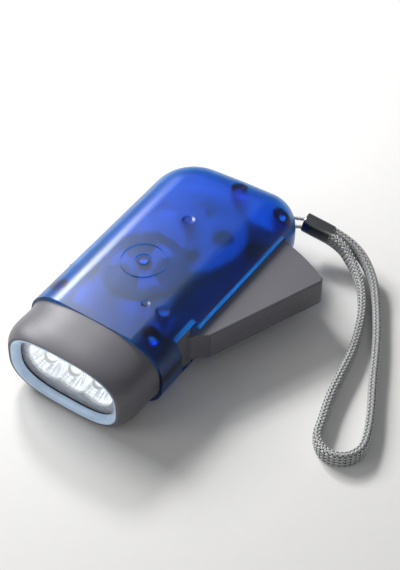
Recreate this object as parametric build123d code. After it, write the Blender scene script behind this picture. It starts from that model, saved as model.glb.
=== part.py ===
"""A squeeze-lever dynamo torch: a translucent two-shell housing with a three-LED head and a wrist strap.

Squeezing the lever swings its toothed sector about the hinge pin. The sector turns the drive pinion, a
ratchet and a reduction gear speed that up, and the last pinion spins the flywheel and the ring magnet
inside the claw-pole coil.

Millimetres. Drawn with x = 0 on the centreline, y = 0 at the front lip and z = 0 on the table, then
moved so that the origin is at the middle of the flat face that the torch rests on.
"""

from build123d import *
import math
import os

# Housing
LENGTH = 104.4
LEFT_WIDTH = 25.0
RIGHT_WIDTH = 27.0
THICKNESS = 27.6
WALL = 1.8
SIDE_ROUND = 12.0
TAIL_BOW = 0.8
TAIL_SLANT = 3.8
TAIL_LEFT_ROUND = 17.0
TAIL_RIGHT_ROUND = 12.4
REST_Y = 56.0
MID_Z = THICKNESS / 2
FLOOR_Z = WALL
ROOF_Z = THICKNESS - WALL

# Fits
RUNNING = 0.02
SLIDING = 0.15
GAP = 0.3

# Head
HEAD_LENGTH = 17.1
HEAD_X = (RIGHT_WIDTH - LEFT_WIDTH) / 2 - 0.2
HEAD_BACK = ((LEFT_WIDTH + RIGHT_WIDTH) / 2 - 0.95, 13.5)
HEAD_FRONT = (HEAD_BACK[0] - 3.4, 12.5)
HEAD_WALL = 2.4
LIP_DEPTH = 2.2
LIP_OUTER = (HEAD_FRONT[0] - 1.2, 11.5)
WINDOW = (HEAD_FRONT[0] - 2.9, 10.5)
GASKET_THICKNESS = 0.8
LENS_THICKNESS = 1.4
OPTIC = (HEAD_FRONT[0] - 2.0, 11.4)
REFLECTOR_DEPTH = 7.2
REFLECTOR_FLANGE = 1.0
CUP_RADIUS = 7.2
CUP_THROAT = 3.1
LED_PITCH = 9.5
LED_RADIUS = 2.5
LED_RIM = 2.9
LED_LENGTH = 7.4
BOARD = (34.0, 16.0, 1.2)
SPIGOT_DEPTH = 3.6

# Electronics
CELL_RADIUS = 5.75
CELL_LENGTH = 5.3
CELL_CENTRE = (-4.0, HEAD_LENGTH + SPIGOT_DEPTH + CELL_RADIUS + 0.5, FLOOR_Z + 1.4 + CELL_RADIUS)
CRADLE_THICKNESS = 1.2
CRADLE_PLACES = (-8.5, 0.5)
DIODE_RADIUS = 0.9
DIODE_LENGTH = 3.6
DIODE_PLACES = (-6.0, -3.0, 0.0, 3.0)
CAPACITOR_RADIUS = 2.5
CAPACITOR_HEIGHT = 3.0
LEAD_RADIUS = 0.5
LEAD_END = 2.6

# Hinge and lever
HINGE = (16.5, 32.5)
PIN_RADIUS = 1.5
LEVER_THICKNESS = 10.6
LEVER_SKIN = 2.2
LEVER_REACH = 56.2
LEVER_RIM = 2.2
LEVER_EDGE_ROUND = 0.7
NOSE = (25.9, 34.4)
STEP = (30.6, 38.8)
CORNER = (46.8, 78.3)
CORNER_END = 59.4
SECTOR_INNER = 28.5
SECTOR_START = 105.0
BAY_INNER = 34.0
BAY_OUTER = 49.0
BAY_START = 81.0
RIM_END = 110.5
SECTOR_END = 119.0
BARREL_HEIGHT = 16.0
BARREL_RADIUS = 5.2
SLOT_CLEARANCE = 0.4
RIVET_RADIUS = 1.0
RIVET_DIRECTIONS = (84.0, 102.0)
RIVET_CIRCLE = SECTOR_INNER + 2.7

# Return spring
SPRING_RADIUS = 3.3
SPRING_WIRE = 0.35
SPRING_PITCH = 1.15
SPRING_TURNS = 2.25
SPRING_LEG = 5.0
SPRING_END = 145.9
SPRING_POCKET = (4.1, 2.5)

# Gear train
PRESSURE_ANGLE = 25.0
BACKLASH = 0.2
DRIVE_MODULE = 1.0
SECTOR_TEETH = 72
PINION_TEETH = 11
SPEED_MODULE = 0.8
WHEEL_TEETH = 48
PINION_FACE = 7.2
WHEEL_FACE = 2.0
WHEEL_Z = 19.8
DRIVE_DIRECTION = 113.8
SPEED_DIRECTION = -93.28
AXLE_RADIUS = 1.5
RATCHET_TEETH = 12
RATCHET_RADIUS = 5.0

# Flywheel and dynamo
FLYWHEEL_RADIUS = 14.3
FLYWHEEL_THICKNESS = 2.8
FLYWHEEL_Z = 22.4
MAGNET_RADIUS = 8.0
MAGNET_HEIGHT = 4.8
STATOR_RADIUS = 13.3
STATOR_LOW = FLOOR_Z + 0.4
STATOR_HIGH = STATOR_LOW + 5.8
PLATE = 0.6
CLAWS = 6
RING_RADIUS = 7.75
RING_RISE = 0.35
HUB_RADIUS = 4.6
WINDOW_OUTER = 10.6
WINDOW_DIRECTIONS = (75.0, 195.0, 315.0)
WINDOW_HALF_ANGLE = 22.0

# Fasteners and posts
SCREWS = [(6.8 - LEFT_WIDTH, 24.5), (17.5, 23.8), (4.4, 93.7), (21.6, 93.0)]
POST_RADIUS = 2.8
SCREW_RADIUS = 1.1
SCREW_HEAD = 2.1
SCREW_LENGTH = 14.0
BOSS_RADIUS = 2.8
STUD = (10.0, 32.0)

# Switch
SWITCH_Y = 41.0
SWITCH_Z = MID_Z + 4.0
SWITCH_TRAVEL = 5.0
KNOB = (3.6, 6.0, 3.4)
KNOB_PROUD = 0.6

# Strap
STRAP_WIDTH = 5.6
STRAP_THICKNESS = 2.3
STRAP_ROUNDING = 0.45
CRIMP_WALL = 0.4
CRIMP_ROOM = 0.8
CRIMP_START = (24.6, 104.2, 13.2)
CRIMP_END = (35.0, 105.4, 11.2)
TETHER_RADIUS = 0.7
TETHER_CLEARANCE = 0.25
TETHER_LOOP = 2.0
TETHER_INNER = (16.2, 99.6, 12.95)
STRAP_ROUTE = [
    (32.2, 103.8, 11.8),
    (38.4, 104.5, 10.6),
    (44.8, 102.6, 6.6),
    (51.6, 97.6, 3.7),
    (57.6, 89.0, 2.9),
    (61.9, 79.2, 2.9),
    (65.2, 68.8, 2.9),
    (67.0, 58.2, 2.9),
    (69.2, 48.0, 2.9),
    (72.0, 39.8, 2.9),
    (73.6, 33.6, 2.9),
    (78.8, 29.9, 2.9),
    (85.0, 31.0, 2.9),
    (88.4, 36.6, 2.9),
    (86.8, 43.2, 2.9),
    (82.6, 52.6, 2.9),
    (77.2, 62.4, 2.9),
    (72.6, 72.0, 2.9),
    (67.4, 81.8, 2.9),
    (61.4, 91.6, 3.0),
    (54.9, 100.6, 4.6),
    (47.0, 105.9, 8.0),
    (38.9, 107.1, 10.4),
    (31.9, 106.3, 11.8),
]


def around(centre, radius, degrees):
    """The point at a radius and direction from a centre, in plan."""
    turn = math.radians(degrees)
    return (centre[0] + radius * math.cos(turn), centre[1] + radius * math.sin(turn))


DRIVE_CENTRES = DRIVE_MODULE * (SECTOR_TEETH + PINION_TEETH) / 2
SPEED_CENTRES = SPEED_MODULE * (WHEEL_TEETH + PINION_TEETH) / 2
GEAR_AXLE = around(HINGE, DRIVE_CENTRES, DRIVE_DIRECTION)
FLY_AXLE = around(GEAR_AXLE, SPEED_CENTRES, SPEED_DIRECTION)
LEVER_LOW = MID_Z - LEVER_THICKNESS / 2
LEVER_HIGH = MID_Z + LEVER_THICKNESS / 2


# Small tools -----------------------------------------------------------------------------------------


def rod(centre, radius, low, high, bore=0.0):
    """An upright cylinder between two heights, with a bore if one is given."""
    base = Align.CENTER, Align.CENTER, Align.MIN
    solid = Pos(*centre, low) * Cylinder(radius, high - low, align=base)
    if bore:
        solid -= Pos(*centre, low - 1) * Cylinder(bore, high - low + 2, align=base)
    return solid


def block(x, y, z):
    """A box between three pairs of limits."""
    size = [high - low for low, high in (x, y, z)]
    return Pos(*[(low + high) / 2 for low, high in (x, y, z)]) * Box(*size)


def prism(points, low, high):
    """A straight-sided outline in plan, raised between two heights."""
    return extrude(Pos(0, 0, low) * make_face(Polyline(*points, close=True).edges()), high - low)


def wedge(centre, inner, outer, start, end, low, high):
    """Part of a ring between two directions, raised between two heights."""
    middle = (start + end) / 2
    edges = [
        Line(around(centre, inner, start), around(centre, outer, start)),
        ThreePointArc(*[around(centre, outer, turn) for turn in (start, middle, end)]),
        Line(around(centre, outer, end), around(centre, inner, end)),
        ThreePointArc(*[around(centre, inner, turn) for turn in (end, middle, start)]),
    ]
    return extrude(Pos(0, 0, low) * make_face(edges), high - low)


def oval(half, y, roundness=2.9, points=28):
    """A superellipse in the plane across the torch at y, as a smooth closed curve."""
    power = 2 / roundness
    ring = []
    for step in range(points):
        turn = math.tau * step / points
        across = math.copysign(abs(math.cos(turn)) ** power, math.cos(turn))
        up = math.copysign(abs(math.sin(turn)) ** power, math.sin(turn))
        ring.append((HEAD_X + half[0] * across, y, MID_Z + half[1] * up))
    return make_face(Spline(*ring, periodic=True).edges())


def shrunk(half, amount):
    return (half[0] - amount, half[1] - amount)


def slab(half, start, end):
    """A superellipse plate or plug that runs along the torch."""
    return extrude(oval(half, start), end - start, dir=(0, 1, 0))


def involute(base, radius):
    """How far the flank has turned from its start at this radius, in radians."""
    if radius <= base:
        return 0.0
    roll = math.sqrt((radius / base) ** 2 - 1)
    return roll - math.atan(roll)


def tooth(centre, module, teeth, direction, root):
    """One gear tooth, as the points of its outline from the root up one flank and down the other."""
    pitch = module * teeth / 2
    base = pitch * math.cos(math.radians(PRESSURE_ANGLE))
    tip = pitch + 0.85 * module
    half = math.pi / (2 * teeth) - BACKLASH / (4 * pitch) + involute(base, pitch)
    foot = max(base, root)
    flank = [(root, half - involute(base, foot))]
    for step in range(4):
        radius = foot + (tip - foot) * step / 3
        flank.append((radius, half - involute(base, radius)))
    if foot - root < 0.01:
        flank.pop(0)
    left = [around(centre, radius, direction - math.degrees(turn)) for radius, turn in flank]
    right = [around(centre, radius, direction + math.degrees(turn)) for radius, turn in reversed(flank)]
    return left + right


def gear(centre, module, teeth, direction, low, high, bore):
    """A spur gear with one tooth centred on a direction."""
    root = module * teeth / 2 - 1.1 * module
    outline = []
    for number in range(teeth):
        outline += tooth(centre, module, teeth, direction + 360 * number / teeth, root)
    return prism(outline, low, high) - rod(centre, bore, low - 1, high + 1)


def name_and_write(name, shape):
    """Puts the origin on the rest face and writes one piece."""
    placed = Pos(0, -REST_Y, 0) * shape
    placed.label = name
    export_step(placed, f"parts/{name}.step")


# Housing ---------------------------------------------------------------------------------------------


def housing_form(inset, front):
    """The rounded form of the housing, drawn in all round by an inset and open at the front."""
    left, right = inset - LEFT_WIDTH, RIGHT_WIDTH - inset
    right_end = LENGTH - TAIL_BOW - inset
    left_end = right_end - TAIL_SLANT
    crown = ((left + right) / 2, (left_end + right_end) / 2 + TAIL_BOW)
    with BuildPart() as form:
        with BuildSketch(Plane.XY.offset(inset)) as plan:
            with BuildLine():
                Polyline((left, left_end), (left, front), (right, front), (right, right_end))
                ThreePointArc((right, right_end), crown, (left, left_end))
            make_face()
            fillet(plan.vertices().sort_by(Axis.X)[:2].sort_by(Axis.Y)[-1], TAIL_LEFT_ROUND - inset)
            fillet(plan.vertices().sort_by(Axis.X)[-2:].sort_by(Axis.Y)[-1], TAIL_RIGHT_ROUND - inset)
        extrude(amount=THICKNESS - 2 * inset)
        rims = form.edges().filter_by(Plane.XY)
        rims = rims.filter_by(lambda edge: abs(edge.center().Y - front) > 1)
        fillet(rims, SIDE_ROUND - inset)
    return form.part


def lever_slot():
    """The way through the right wall for the lever's blade and, taller, for its hinge barrel."""
    blade = LEVER_THICKNESS / 2 + SLOT_CLEARANCE
    barrel = BARREL_HEIGHT / 2 + SLOT_CLEARANCE
    wide = (RIGHT_WIDTH - 7.5, RIGHT_WIDTH + 5)
    long_slot = block(wide, (HINGE[1] + 1, 84.0), (MID_Z - blade, MID_Z + blade))
    tail = wedge(HINGE, 40, LEVER_REACH + 0.5, 60, 84.5, MID_Z - blade, MID_Z + blade)
    tall_slot = block(wide, (HINGE[1] - 4.6, HINGE[1] + 6.0), (MID_Z - barrel, MID_Z + barrel))
    return long_slot + tail + tall_slot


def half_shell(side):
    """The upper (+1) or lower (-1) shell with its posts, sockets and cut-outs."""
    outer = housing_form(0, HEAD_LENGTH)
    inner = housing_form(WALL, HEAD_LENGTH - 2)
    near, far = (MID_Z, THICKNESS + 1) if side > 0 else (-1, MID_Z)
    half = block((-60, 60), (-10, 150), (near, far))
    shell = (outer - inner) & half

    def span(depth_from, depth_to):
        """Two heights given as distances from the parting plane, on this shell's side."""
        return sorted((MID_Z + side * depth_from, MID_Z + side * depth_to))

    inside = MID_Z - WALL
    for spot in SCREWS:
        shell += rod(spot, POST_RADIUS, *span(0, inside + 0.2))
    shell += rod(HINGE, PIN_RADIUS + 1.2, *span(BARREL_HEIGHT / 2 + GAP, inside + 0.2))
    gear_boss = LEVER_THICKNESS / 2 - 1.5 if side < 0 else WHEEL_Z + WHEEL_FACE + 0.6 - MID_Z
    shell += rod(GEAR_AXLE, BOSS_RADIUS, *span(gear_boss, inside + 0.2))
    shell -= rod(HINGE, PIN_RADIUS + RUNNING, *span(0, inside + 0.6))
    shell -= rod(GEAR_AXLE, AXLE_RADIUS + RUNNING, *span(0, inside + 0.6))
    shell -= rod(FLY_AXLE, bush_radius() + RUNNING, *span(0, inside + 1.2))
    return (shell & outer) - lever_slot() - tether_holes()


def upper_shell():
    shell = half_shell(+1)
    top = THICKNESS
    shell += rod(FLY_AXLE, RING_RADIUS, top - 0.3, top + RING_RISE, bore=RING_RADIUS - 0.55)
    shell -= rod(FLY_AXLE, 2.9, top - 0.35, top + 1, bore=1.5)
    for spot in SCREWS:
        shell -= rod(spot, SCREW_RADIUS + 0.05, MID_Z - 1, MID_Z + SCREW_LENGTH / 2 + 1)
    shell += rod(STUD, 1.1, ROOF_Z - 4.0, ROOF_Z + 0.2)
    return shell - switch_window()


def lower_shell():
    shell = half_shell(-1)
    for spot in SCREWS:
        shell -= rod(spot, SCREW_HEAD + 0.3, -1, screw_seat())
        shell -= rod(spot, SCREW_RADIUS + 0.15, -1, MID_Z + 1)
    shell += rod(FLY_AXLE, STATOR_RADIUS - 2.5, FLOOR_Z - 0.2, STATOR_LOW, bore=MAGNET_RADIUS)
    front = HEAD_LENGTH + SPIGOT_DEPTH + GAP
    for x in CRADLE_PLACES:
        back = front + 2 * CELL_RADIUS
        cradle = block((x, x + CRADLE_THICKNESS), (front, back), (FLOOR_Z - 0.2, CELL_CENTRE[2]))
        cell = Pos(*CELL_CENTRE) * Rot(0, 90, 0) * Cylinder(CELL_RADIUS + SLIDING, 40)
        shell += cradle - cell
    return shell


def screw_seat():
    """The height of the shoulder that the screw heads pull against."""
    return MID_Z + SCREW_LENGTH / 2 - SCREW_LENGTH


def housing_screw(spot):
    """One pan-head screw, driven up from below."""
    seat = screw_seat()
    head = rod(spot, SCREW_HEAD, seat - 1.3, seat)
    head = fillet(head.edges().sort_by(Axis.Z)[0], 0.5)
    slot = block((-0.3, 0.3), (-1.3, 1.3), (-0.5, 0.6))
    cross = slot + Rot(0, 0, 90) * slot
    shank = rod(spot, SCREW_RADIUS, seat, seat + SCREW_LENGTH - 1)
    return head + shank - Pos(*spot, seat - 1.3) * cross


def switch_window():
    knob_y, knob_z = KNOB[1] / 2, KNOB[2] / 2
    return block(
        (-LEFT_WIDTH - 2, -LEFT_WIDTH + 4),
        (SWITCH_Y - knob_y - 0.4, SWITCH_Y + knob_y + SWITCH_TRAVEL + 0.4),
        (SWITCH_Z - knob_z - 0.2, SWITCH_Z + knob_z + 0.2),
    )


# Head ------------------------------------------------------------------------------------------------


def head_bezel():
    """The grey head: a swelling oval with a chamfered lip, hollow, with a spigot into the housing."""
    waist = (HEAD_BACK[0] - 0.5, HEAD_BACK[1])
    cheek = (HEAD_FRONT[0] + 1.6, HEAD_FRONT[1] + 0.65)
    sections = [oval(HEAD_FRONT, 0), oval(cheek, 2.0), oval(waist, 9.5), oval(HEAD_BACK, HEAD_LENGTH)]
    body = loft([section.faces()[0] for section in sections])
    spigot = housing_form(WALL + SLIDING, HEAD_LENGTH - 1)
    spigot = spigot & block((-60, 60), (HEAD_LENGTH - 1, HEAD_LENGTH + SPIGOT_DEPTH), (-1, THICKNESS + 1))
    body += spigot
    lip = loft([oval(LIP_OUTER, -0.01), oval(WINDOW, LIP_DEPTH)])
    body -= lip
    body -= slab(OPTIC, LIP_DEPTH, board_front())
    hollow = shrunk(HEAD_BACK, HEAD_WALL + 1.0)
    return body - slab(hollow, board_front() - 0.01, HEAD_LENGTH + SPIGOT_DEPTH + 1)


def lens_front():
    return LIP_DEPTH + GASKET_THICKNESS


def reflector_front():
    return lens_front() + LENS_THICKNESS


def board_front():
    return reflector_front() + REFLECTOR_DEPTH + 0.8


def lens():
    return slab(shrunk(OPTIC, SLIDING), lens_front(), reflector_front())


def lens_gasket():
    ring = slab(shrunk(OPTIC, SLIDING), LIP_DEPTH, lens_front())
    return ring - slab(shrunk(WINDOW, 0.2), LIP_DEPTH - 1, lens_front() + 1)


def led_positions():
    return [HEAD_X - LED_PITCH, HEAD_X, HEAD_X + LED_PITCH]


def reflector():
    """A plated block with three round bowls that run into each other."""
    front, back = reflector_front(), reflector_front() + REFLECTOR_DEPTH
    body = slab(shrunk(OPTIC, SLIDING), front, front + REFLECTOR_FLANGE)
    body += slab(shrunk(OPTIC, 1.0), front, back)
    for x in led_positions():
        bowl = make_face(
            [
                Line((0, 0), (CUP_RADIUS, 0)),
                ThreePointArc((CUP_RADIUS, 0), (CUP_RADIUS - 1.2, 3.6), (CUP_THROAT, REFLECTOR_DEPTH + 0.1)),
                Line((CUP_THROAT, REFLECTOR_DEPTH + 0.1), (0, REFLECTOR_DEPTH + 0.1)),
                Line((0, REFLECTOR_DEPTH + 0.1), (0, 0)),
            ]
        )
        body -= Pos(x, front - 0.05, MID_Z) * revolve(bowl, Axis.Y)
    return body


def led(x):
    """A 5 mm LED: rim, barrel and dome, facing the front."""
    base = board_front()
    profile = make_face(
        [
            Line((0, 0), (LED_RIM, 0)),
            Line((LED_RIM, 0), (LED_RIM, -1.0)),
            Line((LED_RIM, -1.0), (LED_RADIUS, -1.0)),
            Line((LED_RADIUS, -1.0), (LED_RADIUS, LED_RADIUS - LED_LENGTH)),
            ThreePointArc(
                (LED_RADIUS, LED_RADIUS - LED_LENGTH),
                (LED_RADIUS * math.sqrt(0.5), LED_RADIUS - LED_LENGTH - LED_RADIUS * math.sqrt(0.5)),
                (0, -LED_LENGTH),
            ),
            Line((0, -LED_LENGTH), (0, 0)),
        ]
    )
    return Pos(x, base, MID_Z) * revolve(profile, Axis.Y)


def led_board():
    wide, tall, thick = BOARD
    front = board_front()
    sides = (HEAD_X - wide / 2, HEAD_X + wide / 2)
    board = block(sides, (front, front + thick), (MID_Z - tall / 2, MID_Z + tall / 2))
    return fillet(board.edges().filter_by(Axis.Y), 1.5)


def rectifier_diodes():
    """Four glass diodes on the back of the board."""
    back = board_front() + BOARD[2]
    diode = Cylinder(DIODE_RADIUS, DIODE_LENGTH)
    return [Pos(x, back + DIODE_RADIUS, MID_Z + 4.2) * diode for x in DIODE_PLACES]


def capacitor():
    back = board_front() + BOARD[2]
    can = Rot(90, 0, 0) * Cylinder(CAPACITOR_RADIUS, CAPACITOR_HEIGHT)
    can = Pos(10.5, back + CAPACITOR_HEIGHT / 2, MID_Z + 3.0) * can
    return fillet(can.edges().sort_by(Axis.Y)[-1], 0.4)


def battery_cells():
    """Three button cells in a row."""
    cells = []
    for number in (-1, 0, 1):
        cell = Rot(0, 90, 0) * Cylinder(CELL_RADIUS, CELL_LENGTH)
        cell = fillet(cell.edges(), 0.6)
        cells.append(Pos(CELL_CENTRE[0] + number * CELL_LENGTH, *CELL_CENTRE[1:]) * cell)
    return cells


def battery_contacts():
    """Spring-steel strips at both ends of the cells, standing on the floor of the housing."""
    strips = []
    for side in (-1, 1):
        near = CELL_CENTRE[0] + side * 1.5 * CELL_LENGTH
        x = sorted((near, near + side * 0.4))
        strips.append(block(x, (CELL_CENTRE[1] - 2, CELL_CENTRE[1] + 2), (FLOOR_Z, CELL_CENTRE[2] + 3)))
    return strips


# Lever -----------------------------------------------------------------------------------------------

def lever_blade():
    """The handle and its rim arm in plan, raised to the lever's thickness."""
    corner_end = around(HINGE, LEVER_REACH, CORNER_END)
    middle = (CORNER_END + RIM_END) / 2
    bay_middle = (BAY_START + RIM_END) / 2
    seat_middle = (BAY_START + SECTOR_END) / 2
    outline = [
        Line(HINGE, (NOSE[0] - 2.0, NOSE[1] - 1.6)),
        Line((NOSE[0] - 2.0, NOSE[1] - 1.6), NOSE),
        ThreePointArc(NOSE, ((NOSE[0] + STEP[0]) / 2 - 0.35, (NOSE[1] + STEP[1]) / 2 + 0.4), STEP),
        Line(STEP, CORNER),
        ThreePointArc(CORNER, (46.75, 79.7), corner_end),
        ThreePointArc(corner_end, around(HINGE, LEVER_REACH, middle), around(HINGE, LEVER_REACH, RIM_END)),
        Line(around(HINGE, LEVER_REACH, RIM_END), around(HINGE, BAY_OUTER, RIM_END)),
        ThreePointArc(*[around(HINGE, BAY_OUTER, turn) for turn in (RIM_END, bay_middle, BAY_START)]),
        Line(around(HINGE, BAY_OUTER, BAY_START), around(HINGE, BAY_INNER, BAY_START)),
        ThreePointArc(*[around(HINGE, BAY_INNER, turn) for turn in (BAY_START, seat_middle, SECTOR_END)]),
        Line(around(HINGE, BAY_INNER, SECTOR_END), around(HINGE, SECTOR_INNER, SECTOR_END)),
        ThreePointArc(*[around(HINGE, SECTOR_INNER, turn) for turn in (SECTOR_END, 112, SECTOR_START)]),
        Line(around(HINGE, SECTOR_INNER, SECTOR_START), around(HINGE, 4.0, 150)),
        Line(around(HINGE, 4.0, 150), HINGE),
    ]
    return extrude(Pos(0, 0, LEVER_LOW) * make_face(outline), LEVER_THICKNESS)


def lever():
    """The grey lever: a channel-shaped handle, a hinge barrel that fills the slot, and the rim arm."""
    blade = lever_blade()
    rims = blade.edges().filter_by(Plane.XY)
    rims = rims.filter_by(lambda rim: rim.center().X > STEP[0] + 2 or rim.center().Y > CORNER[1] + 8)
    blade = fillet(rims, LEVER_EDGE_ROUND)
    slope = math.degrees(math.atan2(CORNER[1] - STEP[1], CORNER[0] - STEP[0]))
    inset = around((0, 0), LEVER_RIM + 0.4, slope + 90)
    front = (STEP[0] + inset[0] - 1.0, STEP[1] + inset[1] - 2.4)
    rear = around(front, 70, slope)
    low, high = LEVER_LOW + LEVER_SKIN, LEVER_HIGH - LEVER_SKIN
    inside = prism([front, rear, (rear[0] - 90, rear[1] + 10), (front[0] - 60, front[1] + 10)], low, high)
    ring = rod(HINGE, LEVER_REACH - LEVER_RIM, low, high, bore=12.0)
    blade -= inside & ring
    barrel = rod(HINGE, BARREL_RADIUS, MID_Z - BARREL_HEIGHT / 2, MID_Z + BARREL_HEIGHT / 2)
    knuckle = [HINGE, (HINGE[0] + 1, HINGE[1] - 5.0), (23.7, 29.1), (25.0, 35.2), (23.0, 37.2), (17, 37.6)]
    barrel += prism(knuckle, MID_Z - BARREL_HEIGHT / 2, MID_Z + BARREL_HEIGHT / 2)
    lever_part = blade + barrel
    lever_part -= rod(HINGE, PIN_RADIUS + RUNNING, 0, THICKNESS)
    pocket_floor = MID_Z + BARREL_HEIGHT / 2 - SPRING_POCKET[1]
    lever_part -= rod(HINGE, SPRING_POCKET[0], pocket_floor, THICKNESS)
    for spot in rivet_spots():
        lever_part -= rod(spot, RIVET_RADIUS, 0, THICKNESS)
    return lever_part


def rivet_spots():
    return [around(HINGE, RIVET_CIRCLE, turn) for turn in RIVET_DIRECTIONS]


def sector_gear():
    """The toothed arc that the lever carries between its two skins."""
    low, high = LEVER_LOW + LEVER_SKIN, LEVER_HIGH - LEVER_SKIN
    pitch = 360 / SECTOR_TEETH
    root = DRIVE_MODULE * SECTOR_TEETH / 2 - 1.1 * DRIVE_MODULE
    first, last = -5, 0
    outline = [around(HINGE, SECTOR_INNER, DRIVE_DIRECTION + pitch * (first - 0.5))]
    for number in range(first, last + 1):
        outline += tooth(HINGE, DRIVE_MODULE, SECTOR_TEETH, DRIVE_DIRECTION + pitch * number, root)
    end = DRIVE_DIRECTION + pitch * (last + 0.5)
    for turn in (end, (end + SECTOR_START) / 2, SECTOR_START, 99, 93):
        outline.append(around(HINGE, SECTOR_INNER, turn))
    body = prism(outline, low, high)
    for spot in rivet_spots():
        body -= rod(spot, RIVET_RADIUS, 0, THICKNESS)
    return body


def sector_rivets():
    rivets = []
    for spot in rivet_spots():
        rivets.append(rod(spot, RIVET_RADIUS, LEVER_LOW, LEVER_HIGH))
    return rivets


def hinge_pin():
    return rod(HINGE, PIN_RADIUS, FLOOR_Z + 0.2, ROOF_Z - 0.2)


def return_spring():
    """A torsion spring in the barrel's pocket, with its upper leg against the stud in the roof."""
    base = MID_Z + BARREL_HEIGHT / 2 - SPRING_POCKET[1] + SPRING_WIRE + 0.1
    steps = round(SPRING_TURNS * 4)
    start = SPRING_END - 360 * SPRING_TURNS

    def coil(quarter):
        spot = around(HINGE, SPRING_RADIUS, start + 90 * quarter)
        return Vector(*spot, base + SPRING_PITCH * quarter / 4)

    arcs = [ThreePointArc(coil(n), coil(n + 0.5), coil(n + 1)).edge() for n in range(steps)]
    last = arcs[-1]
    leg = Line(last @ 1, (last @ 1) + (last % 1) * SPRING_LEG).edge()
    path = Wire(arcs + [leg])
    gaps = []
    for n in range(steps * 8 - 32):
        here, above = coil(n / 8), coil(n / 8 + 4)
        gaps.append((here - above).length - 2 * SPRING_WIRE)
    print(f"return spring: least gap between turns {min(gaps):.2f} mm")
    section = Plane(path @ 0, z_dir=path % 0) * Circle(SPRING_WIRE)
    return sweep(section, path)


# Gears, flywheel and dynamo --------------------------------------------------------------------------


def drive_pinion():
    """The pinion that the sector turns, with its ratchet wheel on top."""
    low = MID_Z - PINION_FACE / 2
    gap_tooth = DRIVE_DIRECTION + 180 + 180 / PINION_TEETH
    bore = AXLE_RADIUS + RUNNING
    body = gear(GEAR_AXLE, DRIVE_MODULE, PINION_TEETH, gap_tooth, low, low + PINION_FACE, bore)
    outline = []
    for number in range(RATCHET_TEETH):
        turn = 360 * number / RATCHET_TEETH
        outline.append(around(GEAR_AXLE, RATCHET_RADIUS, turn))
        outline.append(around(GEAR_AXLE, RATCHET_RADIUS - 0.9, turn + 0.5))
    body += prism(outline, low + PINION_FACE, low + PINION_FACE + 1.6) - rod(
        GEAR_AXLE, bore, 0, THICKNESS
    )
    return body + rod(GEAR_AXLE, 2.6, low + PINION_FACE, WHEEL_Z - 0.05, bore=bore)


def reduction_gear():
    """The large white gear, with a tooth on the line to the flywheel shaft and lightening holes."""
    bore = AXLE_RADIUS + RUNNING
    high = WHEEL_Z + WHEEL_FACE
    body = gear(GEAR_AXLE, SPEED_MODULE, WHEEL_TEETH, SPEED_DIRECTION, WHEEL_Z, high, bore)
    for number in range(5):
        body -= rod(around(GEAR_AXLE, 11.8, 72 * number + 20), 3.6, WHEEL_Z - 1, high + 1)
    return body + rod(GEAR_AXLE, 3.2, WHEEL_Z, high + 0.4, bore=bore)


def ratchet_pawls():
    """Two springy pawls fixed under the reduction gear, resting on the ratchet wheel."""
    low = MID_Z + PINION_FACE / 2 + 0.2
    pawls = []
    for start in (15.0, 195.0):
        arm = wedge(GEAR_AXLE, RATCHET_RADIUS + 0.2, RATCHET_RADIUS + 1.0, start, start + 100, low, low + 1.2)
        foot = rod(around(GEAR_AXLE, RATCHET_RADIUS + 0.6, start + 96), 0.55, low, WHEEL_Z)
        pawls.append(arm + foot)
    return pawls


def gear_axle():
    return rod(GEAR_AXLE, AXLE_RADIUS, FLOOR_Z + 0.2, ROOF_Z - 0.2)


def bush_radius():
    return AXLE_RADIUS + 0.9


def axle_bushes():
    """The two brass bushes that carry the flywheel shaft in the shells."""
    low_seat, high_seat = FLOOR_Z - 1.2, ROOF_Z + 1.2
    bore = AXLE_RADIUS + RUNNING
    low = rod(FLY_AXLE, bush_radius(), low_seat, low_seat + 1.5, bore=bore)
    high = rod(FLY_AXLE, bush_radius(), high_seat - 1.5, high_seat, bore=bore)
    return [low, high]


def flywheel_shaft():
    return rod(FLY_AXLE, AXLE_RADIUS, FLOOR_Z - 1.0, ROOF_Z + 1.0)


def flywheel():
    """The steel disc, with three windows that the hub's arms fill."""
    high = FLYWHEEL_Z + FLYWHEEL_THICKNESS
    disc = rod(FLY_AXLE, FLYWHEEL_RADIUS, FLYWHEEL_Z, high, bore=HUB_RADIUS)
    for turn in WINDOW_DIRECTIONS:
        sides = turn - WINDOW_HALF_ANGLE, turn + WINDOW_HALF_ANGLE
        disc -= wedge(FLY_AXLE, HUB_RADIUS - 0.6, WINDOW_OUTER, *sides, FLYWHEEL_Z - 1, high + 1)
    return disc


def flywheel_hub():
    """The pale moulding in the middle of the flywheel, with the last pinion below it."""
    high = FLYWHEEL_Z + FLYWHEEL_THICKNESS
    fit = 0.05
    body = rod(FLY_AXLE, HUB_RADIUS - fit, FLYWHEEL_Z, high)
    half_angle = WINDOW_HALF_ANGLE - 0.4
    for turn in WINDOW_DIRECTIONS:
        sides = turn - half_angle, turn + half_angle
        body += wedge(FLY_AXLE, 3.0, WINDOW_OUTER - fit, *sides, FLYWHEEL_Z, high)
    gap_tooth = SPEED_DIRECTION + 180 + 180 / PINION_TEETH
    low = WHEEL_Z - 0.2
    body += gear(FLY_AXLE, SPEED_MODULE, PINION_TEETH, gap_tooth, low, FLYWHEEL_Z, AXLE_RADIUS)
    return body - rod(FLY_AXLE, AXLE_RADIUS, 0, THICKNESS)


def stator_middle():
    return (STATOR_LOW + STATOR_HIGH) / 2


def rotor_magnet():
    middle = stator_middle()
    low, high = middle - MAGNET_HEIGHT / 2, middle + MAGNET_HEIGHT / 2
    ring = rod(FLY_AXLE, MAGNET_RADIUS, low, high, bore=AXLE_RADIUS)
    return chamfer(ring.edges().filter_by(GeomType.CIRCLE).group_by(SortBy.RADIUS)[-1], 0.4)


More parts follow.
